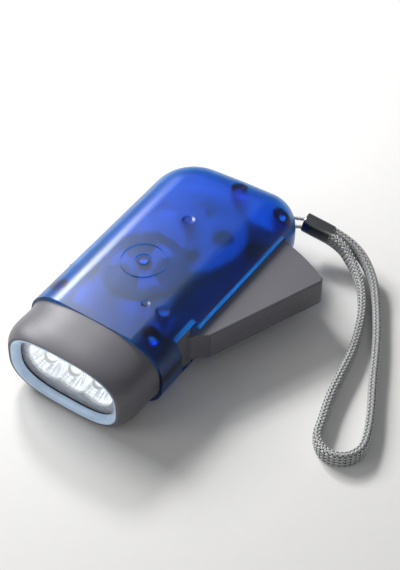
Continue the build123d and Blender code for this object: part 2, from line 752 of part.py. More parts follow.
def claw_plate(side):
    """A stamped ring with claws that stand between those of the other plate."""
    low, high = STATOR_LOW, STATOR_HIGH
    inner = MAGNET_RADIUS + 0.5
    ring_low, ring_high = (low, low + PLATE) if side < 0 else (high - PLATE, high)
    claw_low, claw_high = (low, high - PLATE - 0.5) if side < 0 else (low + PLATE + 0.5, high)
    gap_low, gap_high = (ring_high, high) if side < 0 else (low, ring_low)
    body = rod(FLY_AXLE, STATOR_RADIUS, ring_low, ring_high)
    body += rod(FLY_AXLE, inner + PLATE, claw_low, claw_high)
    body -= rod(FLY_AXLE, inner, low - 1, high + 1)
    pitch = 360 / CLAWS
    for number in range(CLAWS):
        gap = pitch * (number + (0.5 if side < 0 else 0))
        body -= wedge(FLY_AXLE, inner - 1, inner + PLATE + 1, gap - 20, gap + 20, gap_low, gap_high)
    return body


def coil_bobbin():
    """The plastic spool between the two plates."""
    low, high = STATOR_LOW + PLATE, STATOR_HIGH - PLATE
    inner = MAGNET_RADIUS + 0.5 + PLATE + 0.1
    spool = rod(FLY_AXLE, STATOR_RADIUS - 0.3, low, high, bore=inner)
    return spool - rod(FLY_AXLE, STATOR_RADIUS + 1, low + 0.6, high - 0.6, bore=inner + 0.7)


def stator_coil():
    """The winding, which fills the spool."""
    low, high = STATOR_LOW + PLATE + 0.6, STATOR_HIGH - PLATE - 0.6
    inner = MAGNET_RADIUS + 0.5 + PLATE + 0.8
    ring = rod(FLY_AXLE, STATOR_RADIUS - 0.7, low, high, bore=inner)
    return fillet(ring.edges().filter_by(GeomType.CIRCLE).group_by(SortBy.RADIUS)[-1], 0.8)


# Switch and leads ------------------------------------------------------------------------------------


def switch_knob():
    """The thumb piece: a ribbed pad outside the wall and a foot inside it."""
    deep, long, tall = KNOB
    outside = -LEFT_WIDTH - KNOB_PROUD
    pad = block(
        (outside, outside + deep),
        (SWITCH_Y - long / 2, SWITCH_Y + long / 2),
        (SWITCH_Z - tall / 2, SWITCH_Z + tall / 2),
    )
    pad = fillet(pad.edges().group_by(Axis.X)[0], 0.5)
    for number in (-1, 0, 1):
        pad -= block(
            (outside - 1, outside + 0.35),
            (SWITCH_Y + number * 1.4 - 0.25, SWITCH_Y + number * 1.4 + 0.25),
            (SWITCH_Z - tall, SWITCH_Z + tall),
        )
    foot = block(
        (outside + deep, outside + deep + 0.8),
        (SWITCH_Y - long / 2 - 0.6, SWITCH_Y + long / 2 + 0.6),
        (SWITCH_Z - tall / 2 - 0.6, SWITCH_Z + tall / 2 + 0.6),
    )
    return pad + foot


def switch_housing():
    """The slide switch's body, behind the knob."""
    near = -LEFT_WIDTH - KNOB_PROUD + KNOB[0] + 0.8 + 0.1
    middle = SWITCH_Y + SWITCH_TRAVEL / 2
    body = block((near, near + 4.0), (middle - 7.0, middle + 7.0), (SWITCH_Z - 3.6, SWITCH_Z + 3.6))
    return fillet(body.edges().filter_by(Axis.X), 0.5)


def switch_lugs():
    """The three solder lugs at the back of the switch."""
    near = -LEFT_WIDTH - KNOB_PROUD + KNOB[0] + 0.9 + 4.0
    middle = SWITCH_Y + SWITCH_TRAVEL / 2
    lugs = []
    for number in (-1, 0, 1):
        y = middle + 4.2 * number
        lugs.append(block((near, near + 1.6), (y - 0.6, y + 0.6), (SWITCH_Z - 0.2, SWITCH_Z + 0.2)))
    return lugs


def lead(points, bend):
    """An insulated wire along a route with round bends."""
    path = FilletPolyline(*points, radius=bend)
    section = Plane(path @ 0, z_dir=path % 0) * Circle(LEAD_RADIUS)
    return sweep(section, path)


def coil_leads():
    """The two leads from the coil up and over the cells to the board."""
    top = STATOR_HIGH
    back = board_front() + BOARD[2]
    x = FLY_AXLE[0] - 9.5
    leads = []
    for step in (0.0, 1.6):
        route = [
            (x - step, FLY_AXLE[1] - 5.0, top),
            (x - step, FLY_AXLE[1] - 5.0, top + 6.0 + step),
            (x + 1 - step, CELL_CENTRE[1] - 1.0, CELL_CENTRE[2] + CELL_RADIUS + 2.0 + step),
            (x + 2.5 - step, back + LEAD_END, CELL_CENTRE[2] + CELL_RADIUS + 0.8 + step),
            (x + 2.5 - step, back, CELL_CENTRE[2] + CELL_RADIUS + 0.8 + step),
        ]
        leads.append(lead(route, [2.5, 2.5, 2.0]))
    return leads


def switch_leads():
    """The two leads from the switch forward to the board."""
    back = board_front() + BOARD[2]
    near = -LEFT_WIDTH - KNOB_PROUD + KNOB[0] + 0.9 + 4.0 + 0.8
    middle = SWITCH_Y + SWITCH_TRAVEL / 2
    leads = []
    for step in (0, 1):
        route = [
            (near, middle - 4.2 * step, SWITCH_Z + 0.2),
            (near, middle - 4.2 * step, SWITCH_Z + 3.0 + 1.4 * step),
            (near + 0.3, 32.0, SWITCH_Z + 3.4 + 1.4 * step),
            (near + 2.1, back + 8.4, MID_Z + 4.6 + 1.4 * step),
            (near + 2.8 + 1.5 * step, back + LEAD_END, MID_Z + 4.0 + 1.4 * step),
            (near + 2.8 + 1.5 * step, back, MID_Z + 4.0 + 1.4 * step),
        ]
        leads.append(lead(route, [1.2, 1.8, 2.0, 1.5]))
    return leads


# Strap -----------------------------------------------------------------------------------------------


def crimp_axis():
    start, end = Vector(*CRIMP_START), Vector(*CRIMP_END)
    return start, end, (end - start).normalized()


def upright_section(wide, tall, rounding, at, along):
    """A flattened section square to a direction, with its long side upright."""
    across = Vector(0, 0, 1).cross(along).normalized()
    return Plane(at, x_dir=across, z_dir=along) * RectangleRounded(wide, tall, rounding)


def strap_ferrule():
    """The flattened metal tube that holds both ends of the strap and the tether."""
    start, end, along = crimp_axis()
    inner = (2 * STRAP_THICKNESS + CRIMP_ROOM, STRAP_WIDTH + CRIMP_ROOM / 2)
    outer = (inner[0] + 2 * CRIMP_WALL, inner[1] + 2 * CRIMP_WALL)
    length = (end - start).length
    rounding = STRAP_THICKNESS * STRAP_ROUNDING
    tube = extrude(upright_section(*outer, rounding + CRIMP_WALL, start, along), length, dir=along)
    bore = upright_section(*inner, rounding, start - along, along)
    return tube - extrude(bore, length + 2, dir=along)


def tether_frame():
    """The tether's inner end, its direction and its length to just inside the ferrule."""
    inner, start = Vector(*TETHER_INNER), Vector(*CRIMP_START)
    _, _, along = crimp_axis()
    reach = start + along * 1.6 - inner
    flat = Vector(reach.X, reach.Y, 0)
    return inner, flat.normalized(), flat.length


def strap_tether():
    """A thin cord that passes behind the bridge between the two holes in the tail corner."""
    inner, along, length = tether_frame()
    rise = Vector(0, 0, TETHER_LOOP)
    high, low = inner + rise, inner - rise
    path = Wire(
        [
            Edge.make_line(high + along * length, high),
            Edge.make_three_point_arc(high, inner - along * TETHER_LOOP, low),
            Edge.make_line(low, low + along * length),
        ]
    )
    section = Plane(path @ 0, z_dir=path % 0) * Circle(TETHER_RADIUS)
    return sweep(section, path)


def tether_holes():
    """Two holes through the corner wall, one in each shell, for the tether."""
    inner, along, length = tether_frame()
    holes = []
    for side in (-1, 1):
        start = inner + Vector(0, 0, side * TETHER_LOOP)
        ring = Plane(start, z_dir=along) * Circle(TETHER_RADIUS + TETHER_CLEARANCE)
        holes.append(extrude(ring, length, dir=along))
    return holes[0] + holes[1]


def strap_radii():
    """The largest tangent arc at each corner of the strap's route."""
    spots = [Vector(*spot) for spot in STRAP_ROUTE]
    radii = []
    for before, here, after in zip(spots, spots[1:], spots[2:]):
        turn = math.radians((here - before).get_angle(after - here))
        shorter = min((here - before).length, (after - here).length)
        radii.append(0.45 * shorter / math.tan(turn / 2))
    return radii


def strap_loop():
    """The flat braided strap, standing on edge on the table, from the ferrule round and back to it."""
    radii = strap_radii()
    path = FilletPolyline(*STRAP_ROUTE, radius=radii)
    rounding = STRAP_THICKNESS * STRAP_ROUNDING
    section = upright_section(STRAP_THICKNESS, STRAP_WIDTH, rounding, path @ 0, path % 0)
    strap = sweep(section, path)
    expected = section.area * path.length
    print("strap radii:", " ".join(f"{radius:.1f}" for radius in radii))
    print(f"strap length {path.length:.1f} mm, volume {strap.volume:.1f} of {expected:.1f} mm3")
    return strap


# Writing ---------------------------------------------------------------------------------------------


def group(solids):
    """Separate solids that are written as one piece."""
    return Compound(children=list(solids))


def main():
    os.makedirs("parts", exist_ok=True)
    pieces = {
        "upper_shell": upper_shell(),
        "lower_shell": lower_shell(),
        "housing_screws": group(housing_screw(spot) for spot in SCREWS),
        "head_bezel": head_bezel(),
        "lens": lens(),
        "lens_gasket": lens_gasket(),
        "reflector": reflector(),
        "led_left": led(led_positions()[0]),
        "led_centre": led(led_positions()[1]),
        "led_right": led(led_positions()[2]),
        "led_board": led_board(),
        "rectifier_diodes": group(rectifier_diodes()),
        "capacitor": capacitor(),
        "battery_cells": group(battery_cells()),
        "battery_contacts": group(battery_contacts()),
        "lever": lever(),
        "sector_gear": sector_gear(),
        "sector_rivets": group(sector_rivets()),
        "hinge_pin": hinge_pin(),
        "return_spring": return_spring(),
        "drive_pinion": drive_pinion(),
        "reduction_gear": reduction_gear(),
        "ratchet_pawls": group(ratchet_pawls()),
        "gear_axle": gear_axle(),
        "flywheel": flywheel(),
        "flywheel_hub": flywheel_hub(),
        "flywheel_shaft": flywheel_shaft(),
        "axle_bushes": group(axle_bushes()),
        "rotor_magnet": rotor_magnet(),
        "claw_plate_lower": claw_plate(-1),
        "claw_plate_upper": claw_plate(+1),
        "coil_bobbin": coil_bobbin(),
        "stator_coil": stator_coil(),
        "switch_knob": switch_knob(),
        "switch_housing": switch_housing(),
        "switch_lugs": group(switch_lugs()),
        "coil_leads": group(coil_leads()),
        "switch_leads": group(switch_leads()),
        "strap_tether": strap_tether(),
        "strap_ferrule": strap_ferrule(),
        "strap_loop": strap_loop(),
    }
    for name, shape in pieces.items():
        name_and_write(name, shape)


main()
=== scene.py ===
"""Dresses the packed squeeze-lever torch: its finishes, strap, tether, crimp, window, lit rim and dies.

The packed model is loaded once as a fixed frame. Every piece made here is in metres in that frame and
rides on the housing.
"""

import math

import bmesh
import bpy
from bpy.props import FloatProperty, FloatVectorProperty, IntProperty, PointerProperty
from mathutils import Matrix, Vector


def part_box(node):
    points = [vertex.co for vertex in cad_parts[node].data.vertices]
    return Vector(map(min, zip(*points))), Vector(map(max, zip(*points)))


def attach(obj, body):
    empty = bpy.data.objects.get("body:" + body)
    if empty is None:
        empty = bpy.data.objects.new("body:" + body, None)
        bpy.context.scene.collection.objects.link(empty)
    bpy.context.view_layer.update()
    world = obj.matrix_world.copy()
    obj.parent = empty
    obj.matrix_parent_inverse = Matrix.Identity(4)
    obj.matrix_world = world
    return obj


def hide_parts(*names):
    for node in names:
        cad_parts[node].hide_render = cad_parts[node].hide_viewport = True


bl_info = {
    "name": "Squeeze-Lever Torch Dressing",
    "version": (1, 0, 0),
    "blender": (4, 5, 0),
    "location": "3D View > Sidebar > Torch",
    "description": "Gives a squeeze-lever dynamo torch its finishes, strap, lamps and camera",
    "category": "Object",
}

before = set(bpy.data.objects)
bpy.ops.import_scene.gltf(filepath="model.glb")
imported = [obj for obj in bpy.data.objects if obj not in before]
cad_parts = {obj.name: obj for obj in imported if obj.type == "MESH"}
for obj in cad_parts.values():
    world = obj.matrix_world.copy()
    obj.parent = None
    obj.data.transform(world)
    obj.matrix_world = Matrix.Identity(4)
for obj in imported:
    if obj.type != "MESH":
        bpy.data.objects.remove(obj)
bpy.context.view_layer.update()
MM = 0.001

# Millimetres from the front lip back to the origin of the model's frame
REST_Y = 56.0

# What the lamps and the camera face
TARGET = Vector((0.0124, 0.0029, 0.0138))

# Radius of the mouth of each of the reflector's cups, and the facets round it
CUP_RADIUS = 0.0072
CUP_FACETS = 18

# Depth of each die behind the tip of its LED
DIE_DEPTH = 0.0026

# Pitch of the turning marks on the metal parts, and of the coil's turns and layers
TURNING_PITCH = 0.00035
WIRE_PITCH = 0.00022

# Filaments seen across each yarn, the share of its room across the braid that it fills, and the depth of
# its underside and the height of its crown as shares of its rise
FILAMENTS = 5
YARN_FILL = 0.92
YARN_BELOW = 0.6
YARN_ABOVE = 1.1

# The tether's plies, the radius of one as a share of the tether's, the distance of its centre from the
# tether's line as a share of its own radius, the step along that line and the level direction across it
PLIES = 3
PLY_SHARE = 0.52
PLY_OFFSET = 0.9
TETHER_STEP = 0.0003
TETHER_SIDE = Vector((-0.4327, 0.9015, 0.0))

# Half the crimp's breadth and height
CRIMP_HALF = (0.00295, 0.00325)

# Steps round the sections of the head, the crimp, a die, the strap's core and a ply of the tether
HEAD_STEPS = 72
CRIMP_STEPS = 48
DIE_STEPS = 20
CORE_STEPS = 14
PLY_STEPS = 8

# Points read from each span of a route
ROUTE_STEPS = 24

# The crimp's ends, the strap's route and the tether's, in millimetres from the centreline, the front lip
# and the table
CRIMP_ENDS = [(24.7, 104.22, 13.18), (34.9, 105.38, 11.22)]
STRAP_ROUTE = [
    (32.2, 103.8, 11.8),
    (38.4, 104.5, 10.6),
    (44.8, 102.6, 6.6),
    (51.6, 97.6, 3.7),
    (57.6, 89.0, 2.9),
    (61.9, 79.2, 2.9),
    (65.2, 68.8, 2.9),
    (67.0, 58.2, 2.9),
    (69.2, 48.0, 2.9),
    (72.0, 39.8, 2.9),
    (73.6, 33.6, 2.9),
    (78.8, 29.9, 2.9),
    (85.0, 31.0, 2.9),
    (88.4, 36.6, 2.9),
    (86.8, 43.2, 2.9),
    (82.6, 52.6, 2.9),
    (77.2, 62.4, 2.9),
    (72.6, 72.0, 2.9),
    (67.4, 81.8, 2.9),
    (61.4, 91.6, 3.0),
    (54.9, 100.6, 4.6),
    (47.0, 105.9, 8.0),
    (38.9, 107.1, 10.4),
    (31.9, 106.3, 11.8),
]
TETHER_ROUTE = [
    (26.1, 104.35, 14.9),
    (21.0, 101.9, 14.95),
    (17.4, 100.2, 15.0),
    (14.6, 98.9, 14.8),
    (14.1, 98.6, 12.95),
    (14.6, 98.9, 11.1),
    (17.4, 100.2, 10.9),
    (21.0, 101.9, 10.95),
    (26.1, 104.35, 11.0),
]

# Posts, bosses and studs that show as small round marks in the roof: place and radius in millimetres
POST_MARKS = [
    (4.4, 93.7, 2.3),
    (21.6, 93.0, 2.3),
    (-0.25, 70.47, 2.2),
    (10.0, 32.0, 1.5),
    (16.5, 32.5, 2.4),
]


def metres(points):
    """Points in millimetres from the centreline, the front lip and the table, in the model's frame."""
    return [Vector((x * MM, (y - REST_Y) * MM, z * MM)) for x, y, z in points]


def middle(node):
    """The middle of a node's box."""
    low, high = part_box(node)
    return (low + high) / 2


# Settings --------------------------------------------------------------------------------------------


def colour(name, description, default):
    return FloatVectorProperty(
        name=name, description=description, default=default, subtype="COLOR", size=3, min=0.0, max=1.0
    )


def length(name, description, default):
    limits = {"min": 0.0, "precision": 5, "subtype": "DISTANCE", "unit": "LENGTH"}
    return FloatProperty(name=name, description=description, default=default, **limits)


def share(name, description, default):
    limits = {"min": 0.0, "max": 1.0, "subtype": "FACTOR"}
    return FloatProperty(name=name, description=description, default=default, **limits)


def strength(name, description, default):
    return FloatProperty(name=name, description=description, default=default, min=0.0)


def power(name, description, default):
    return FloatProperty(name=name, description=description, default=default, min=0.0, unit="POWER")


def angle(name, description, degrees):
    return FloatProperty(name=name, description=description, default=math.radians(degrees), subtype="ANGLE")


class HousingSettings(bpy.types.PropertyGroup):
    """The translucent housing."""

    tint: colour("Tint", "Colour of the translucent plastic", (0.015, 0.28, 0.96))
    frost: share("Frost", "Roughness of the frosted surface", 0.31)
    grain: length("Grain", "Size of the frosting's grain", 0.00045)
    mark_depth: length("Mark depth", "Depth of the sink marks over the posts", 0.00025)


class PlasticSettings(bpy.types.PropertyGroup):
    """The opaque plastics."""

    grey: colour("Grey", "Head and lever", (0.125, 0.122, 0.138))
    knob: colour("Knob", "Switch knob", (0.62, 0.64, 0.7))
    nylon: colour("Nylon", "Gears, hub and bobbin", (0.8, 0.8, 0.76))
    grain: length("Grain", "Size of the moulded grain", 0.0003)


class MetalSettings(bpy.types.PropertyGroup):
    """The metals."""

    steel: colour("Steel", "Pins, screws, shafts and cells", (0.56, 0.56, 0.58))
    blackened: colour("Blackened steel", "Flywheel", (0.075, 0.078, 0.088))
    plating: colour("Plating", "Reflector and crimp", (0.86, 0.88, 0.9))
    brass: colour("Brass", "Bushes, lugs and cell contacts", (0.72, 0.53, 0.24))
    copper: colour("Copper", "Coil", (0.66, 0.26, 0.1))


class LampSettings(bpy.types.PropertyGroup):
    """The three LEDs."""

    light: colour("Light", "Colour of the LEDs' light", (0.93, 0.97, 1.0))
    body_glow: strength("Body glow", "Strength of the lit epoxy", 0.2)
    die_glow: strength("Die glow", "Strength of the lit dies", 2.2)
    # Strengths of the LEDs' light painted as a glow on the reflector and on the ring round the lens
    painted_cup_glow: strength("Cup glow", "Strength of the light in the reflector", 0.42)
    painted_rim_glow: strength("Rim glow", "Strength of the lit ring", 0.28)
    rim: colour("Rim", "Colour of the lit ring round the lens", (0.42, 0.55, 0.72))
    die_radius: length("Die radius", "Radius of the phosphor cup in each LED", 0.0009)


class StrapSettings(bpy.types.PropertyGroup):
    """The braided wrist strap and its tether."""

    width: length("Width", "Width of the strap, standing on edge", 0.0053)
    thickness: length("Thickness", "Thickness of the strap", 0.0021)
    real_length: length("Length", "Real length of the strap, end to end", 0.2055)
    yarns: IntProperty(name="Yarns", description="Yarns laid each way round the braid", default=10, min=4)
    lay: length("Lay", "Length of strap in which a yarn goes once round", 0.0150)
    yarn_rise: length("Yarn rise", "Height of a yarn where it crosses over another", 0.00017)
    yarn: colour("Yarn", "Colour of the yarn", (0.6, 0.605, 0.6))
    tether_radius: length("Tether radius", "Radius of the twisted tether", 0.00068)
    tether_twist: length("Tether twist", "Length of tether in one turn of its plies", 0.0036)


class StageSettings(bpy.types.PropertyGroup):
    """The floor, the lamps and the camera."""

    floor: colour("Floor", "Colour of the floor", (0.8, 0.79, 0.77))
    key: power("Key", "Power of the key lamp", 4.2)
    glint: power("Glint", "Power of the near lamp", 0.72)
    fill: power("Fill", "Power of the fill lamp", 0.5)
    rim: power("Rim", "Power of the rim lamp", 0.6)
    sky: strength("Sky", "Strength of the surrounding light", 0.2)
    azimuth: angle("Azimuth", "Turn of the camera from the front", 34.7)
    elevation: angle("Elevation", "Height of the camera", 46.9)
    distance: length("Distance", "Distance of the camera from its target", 0.564)
    focal: FloatProperty(
        name="Focal length",
        description="Focal length of the lens",
        default=108.0,
        subtype="DISTANCE_CAMERA",
    )


SETTINGS = {
    "torch_housing": HousingSettings,
    "torch_plastic": PlasticSettings,
    "torch_metal": MetalSettings,
    "torch_lamp": LampSettings,
    "torch_strap": StrapSettings,
    "torch_stage": StageSettings,
}


# Shader tools ----------------------------------------------------------------------------------------


class Value:
    """An output socket. Arithmetic on it adds Math nodes to its tree."""

    def __init__(self, finish, socket):
        self.finish = finish
        self.socket = socket

    def math(self, operation, *others):
        """The outcome of a Math node that takes this value first."""
        sockets = dict(enumerate((self, *others)))
        return self.finish.node("ShaderNodeMath", {"operation": operation}, sockets)

    def __add__(self, other):
        return self.math("ADD", other)

    __radd__ = __add__

    def __sub__(self, other):
        return self.math("SUBTRACT", other)

    def __rsub__(self, other):
        return self.math("MULTIPLY_ADD", -1.0, other)

    def __mul__(self, other):
        return self.math("MULTIPLY", other)

    __rmul__ = __mul__


class Finish:
    """A material under construction, with its Principled shader's constants set on its sockets."""

    def __init__(self, name, **constants):
        self.material = bpy.data.materials.new(name)
        self.material.use_nodes = True
        self.tree = self.material.node_tree
        self.tree.nodes.clear()
        self.shader = self.tree.nodes.new("ShaderNodeBsdfPrincipled")
        output = self.tree.nodes.new("ShaderNodeOutputMaterial")
        self.tree.links.new(self.shader.outputs[0], output.inputs["Surface"])
        for socket, value in constants.items():
            self.set(socket.replace("_", " ").title().replace("Ior", "IOR"), value)

    def set(self, socket, value):
        """Sets or links one of the Principled shader's sockets."""
        self.fill(self.shader.inputs[socket], value)

    def fill(self, socket, value):
        """Links a socket to a value, or sets it to a constant."""
        if isinstance(value, Value):
            self.tree.links.new(value.socket, socket)
        elif socket.type == "RGBA" and len(value) == 3:
            socket.default_value = (*value, 1.0)
        else:
            socket.default_value = value

    def node(self, kind, settings=None, sockets=None, output=0):
        """Adds a node: its settings first, then the values or links of its sockets."""
        made = self.tree.nodes.new(kind)
        for key, value in (settings or {}).items():
            setattr(made, key, value)
        for key, value in (sockets or {}).items():
            self.fill(made.inputs[key], value)
        return Value(self, made.outputs[output])

    def place(self):
        """Position on the object, in metres in the model's frame."""
        return self.node("ShaderNodeTexCoord", output="Object")

    def noise(self, size, detail=2.0, roughness=0.5, where=None):
        """Cloudy noise whose features are about this size in metres."""
        sockets = {
            "Vector": where or self.place(),
            "Scale": 1 / size,
            "Detail": detail,
            "Roughness": roughness,
        }
        return self.node("ShaderNodeTexNoise", None, sockets)

    def blend(self, share_of_second, first, second):
        """A colour between two colours."""
        sockets = {"Factor": share_of_second, 6: first, 7: second}
        return self.node("ShaderNodeMix", {"data_type": "RGBA"}, sockets, output=2)

    def smooth(self, value, low, high, to_low=0.0, to_high=1.0):
        """A value's range mapped smoothly on to another."""
        sockets = {"Value": value, 1: low, 2: high, 3: to_low, 4: to_high}
        return self.node("ShaderNodeMapRange", {"interpolation_type": "SMOOTHSTEP"}, sockets)

    def vector(self, operation, *terms, output="Vector"):
        """The outcome of a Vector Math node with these terms."""
        sockets = dict(enumerate(terms))
        return self.node("ShaderNodeVectorMath", {"operation": operation}, sockets, output)

    def stretch(self, factors):
        """Position with each of its directions scaled."""
        return self.vector("MULTIPLY", self.place(), factors)

    def apart(self, centre):
        """Position from a centre."""
        return self.vector("SUBTRACT", self.place(), centre)

    def part(self, vector, direction):
        """One direction's share of a vector."""
        return self.node("ShaderNodeSeparateXYZ", None, {0: vector}, output=direction)

    def spread(self, centre, flat=(1, 1, 0)):
        """Distance from an upright line, or from one along the direction that is flattened."""
        return self.vector("LENGTH", self.vector("MULTIPLY", self.apart(centre), flat), output="Value")

    def bump(self, height, depth):
        """Feeds the shader's normal from a height of 0 to 1 over a depth in metres."""
        self.set("Normal", self.node("ShaderNodeBump", None, {"Height": height, "Distance": depth}))
        return self


def tone(rgb, factor):
    """A colour made lighter or darker."""
    return tuple(min(1.0, channel * factor) for channel in rgb)


# Finishes --------------------------------------------------------------------------------------------


def frosted_shell(name, settings, marks=()):
    """Translucent plastic with a fine frosted grain and sink marks over the posts."""
    finish = Finish(name, ior=1.49, transmission_weight=1.0, specular_ior_level=0.5)
    cloud = finish.noise(0.012, detail=3.0)
    finish.set("Base Color", finish.blend(cloud, tone(settings.tint, 0.86), tone(settings.tint, 1.16)))
    fine = finish.noise(settings.grain, detail=3.0, roughness=0.65)
    finish.set("Roughness", settings.frost + 0.1 * (fine - 0.5))
    height = 0.07 * fine
    for x, y, radius in marks:
        centre = metres([(x, y, 0)])[0]
        gap = finish.spread(centre)
        height = finish.smooth(gap, radius * MM * 0.55, radius * MM * 1.05) + height
    return finish.bump(height, settings.mark_depth).material


def moulded_plastic(name, rgb, grain, roughness, depth=0.00004, seam=None):
    """Opaque moulded plastic: fine grain, slow changes of tone and gloss, and a mould's seam at a height."""
    finish = Finish(name, ior=1.46)
    fine = finish.noise(grain, detail=2.0, roughness=0.6)
    cloud = finish.noise(0.018, detail=3.0)
    specks = finish.smooth(finish.noise(grain * 2.2, detail=1.0), 0.3, 0.75)
    tint = finish.blend(cloud, tone(rgb, 0.94), tone(rgb, 1.06))
    finish.set("Base Color", finish.blend(0.1 * specks, tint, tone(rgb, 1.5)))
    finish.set("Roughness", roughness + 0.08 * (cloud - 0.5) + 0.08 * (fine - 0.5))
    if seam is None:
        return finish.bump(fine, depth).material
    height = finish.part(finish.place(), "Z")
    groove = finish.smooth((height - seam).math("ABSOLUTE"), 0.00004, 0.00022)
    return finish.bump(0.1 * fine + groove, 0.0001).material


def turned_metal(name, rgb, centre, roughness=0.3):
    """Bare metal with the fine rings that turning leaves round an upright axis."""
    finish = Finish(name, metallic=1.0)
    rings = (finish.spread(centre) * (math.tau / TURNING_PITCH)).math("SINE")
    rings = finish.noise(0.004, detail=1.0) * 0.25 + rings
    cloud = finish.noise(0.006, detail=3.0)
    finish.set("Base Color", finish.blend(cloud, tone(rgb, 0.85), tone(rgb, 1.12)))
    finish.set("Roughness", roughness + 0.14 * (cloud - 0.5))
    return finish.bump(0.5 + 0.5 * rings, 0.000012).material


def plain_metal(name, rgb, roughness, brushed):
    """Bare or plated metal with a faint brushed streak."""
    finish = Finish(name, metallic=1.0)
    streak = finish.noise(0.0006, detail=3.0, where=finish.stretch(brushed))
    finish.set("Base Color", finish.blend(streak, tone(rgb, 0.9), tone(rgb, 1.08)))
    finish.set("Roughness", roughness + 0.16 * (streak - 0.5))
    return finish.bump(streak, 0.00001).material


def mirror_plating(name, rgb, lamp, cups):
    """Vacuum plating: a streaked flat face and round faceted cups, with the LEDs' light painted on as a
    glow.
    """
    finish = Finish(name, emission_strength=lamp.painted_cup_glow)
    peel = finish.noise(0.0016, detail=2.0)
    streak = finish.noise(0.0007, detail=3.0, where=finish.stretch((0.25, 1, 1)))
    inside, facets = 0.0, 0.0
    for cup in cups:
        across = finish.part(finish.apart(cup), "X")
        up = finish.part(finish.apart(cup), "Z")
        gap = finish.spread(cup, (1, 0, 1))
        within = finish.smooth(gap, CUP_RADIUS * 0.96, CUP_RADIUS, 1.0, 0.0)
        facet = up.math("ARCTAN2", across) * CUP_FACETS
        inside = within + inside
        facets = within * (0.5 + 0.5 * facet.math("SINE")) + facets
    lit = inside.math("MINIMUM", 1.0)
    plate = finish.blend(streak, tone(rgb, 0.35), tone(rgb, 0.8))
    finish.set("Base Color", finish.blend(lit, plate, finish.blend(peel, tone(rgb, 0.93), rgb)))
    # Painted light: a faint streaked glow on the flat face, and the LEDs' light on the cups, brightest on
    # their facets
    glow = finish.blend(streak, (0.1, 0.11, 0.13), (0.5, 0.53, 0.6))
    finish.set("Emission Color", finish.blend(lit * (0.5 + 0.5 * facets), glow, lamp.light))
    finish.set("Metallic", 0.45 + 0.5 * lit)
    finish.set("Roughness", 0.3 - 0.2 * lit + 0.06 * peel)
    return finish.bump(0.5 * facets + 0.2 * streak, 0.0002).material


def clear_plastic(name):
    """The lens: clear, with a hint of blue and a few soft flow marks."""
    finish = Finish(name, ior=1.47, transmission_weight=1.0, base_color=(0.97, 0.985, 1.0))
    flow = finish.noise(0.006, detail=2.0)
    finish.set("Roughness", 0.015 + 0.03 * flow)
    return finish.bump(flow, 0.00002).material


def lit_rim(name, settings):
    """The satin ring round the lens, with the LEDs' light painted on as a glow, and soft changes of tone."""
    rgb, glow = settings.rim, settings.painted_rim_glow
    finish = Finish(name, ior=1.46, coat_weight=0.4, coat_roughness=0.12, emission_strength=glow)
    cloud = finish.noise(0.005, detail=2.0)
    finish.set("Base Color", finish.blend(cloud, tone(rgb, 0.9), tone(rgb, 1.15)))
    # Painted light: the ring's glow, in tones of its own colour
    finish.set("Emission Color", finish.blend(cloud, tone(rgb, 0.7), tone(rgb, 1.2)))
    finish.set("Roughness", 0.22 + 0.1 * (cloud - 0.5))
    return finish.material


def lit_epoxy(name, settings):
    """The lit LED's epoxy, whitest at its tip."""
    finish = Finish(name, ior=1.5, transmission_weight=0.9, emission_strength=settings.body_glow)
    along = finish.part(finish.place(), "Y")
    tip = middle("lens").y + 0.0022
    glow = finish.smooth(along, tip, tip + 0.006, 1.0, 0.25)
    finish.set("Emission Color", finish.blend(glow, tone(settings.light, 0.35), settings.light))
    finish.set("Base Color", finish.blend(glow, (0.8, 0.85, 0.9), (1.0, 1.0, 0.98)))
    finish.set("Roughness", 0.08 + 0.1 * finish.noise(0.001))
    return finish.material


def lit_phosphor(name, settings):
    """The glowing phosphor over each die."""
    finish = Finish(name, roughness=0.5, emission_strength=settings.die_glow)
    mottle = finish.noise(0.0004, detail=2.0)
    finish.set("Base Color", finish.blend(mottle, (0.9, 0.8, 0.25), (0.95, 0.88, 0.45)))
    finish.set("Emission Color", finish.blend(mottle, (1.0, 0.94, 0.62), (1.0, 0.86, 0.36)))
    return finish.material


def soft_rubber(name, rgb):
    """Soft rubber or the sleeve of a wire: matt, with a fine tooth."""
    finish = Finish(name, ior=1.5)
    fine = finish.noise(0.0002, detail=2.0)
    finish.set("Base Color", finish.blend(fine, tone(rgb, 0.85), tone(rgb, 1.3)))
    finish.set("Roughness", 0.68 + 0.16 * (fine - 0.5))
    return finish.bump(fine, 0.00003).material


def circuit_board(name):
    """Green solder mask with the fine relief of its tracks."""
    finish = Finish(name, ior=1.5)
    tracks = finish.node(
        "ShaderNodeTexWave",
        {"wave_type": "BANDS", "bands_direction": "X"},
        {"Vector": finish.place(), "Scale": 180.0, "Distortion": 1.4, "Detail": 1.0},
        output="Fac",
    )
    raised = finish.smooth(tracks, 0.55, 0.7)
    finish.set("Base Color", finish.blend(raised, (0.01, 0.13, 0.045), (0.02, 0.22, 0.08)))
    finish.set("Roughness", 0.32 + 0.1 * raised)
    return finish.bump(raised, 0.00003).material


def copper_winding(name, rgb, centre):
    """Enamelled wire, seen as the ridges of its turns, with painted shade in their grooves and painted
    highlight on their tops.
    """
    finish = Finish(name, metallic=1.0)
    height = finish.part(finish.place(), "Z")
    turns = (height * (math.tau / WIRE_PITCH)).math("SINE")
    layers = (finish.spread(centre) * (math.tau / WIRE_PITCH)).math("SINE")
    ridge_and_painted_shade = 0.5 + 0.25 * turns + 0.25 * layers
    # The colour follows the ridges: painted shade in the grooves, painted highlight on the tops
    finish.set("Base Color", finish.blend(ridge_and_painted_shade, tone(rgb, 0.7), tone(rgb, 1.25)))
    finish.set("Roughness", 0.32 + 0.1 * (finish.noise(0.003) - 0.5))
    return finish.bump(ridge_and_painted_shade, 0.00006).material


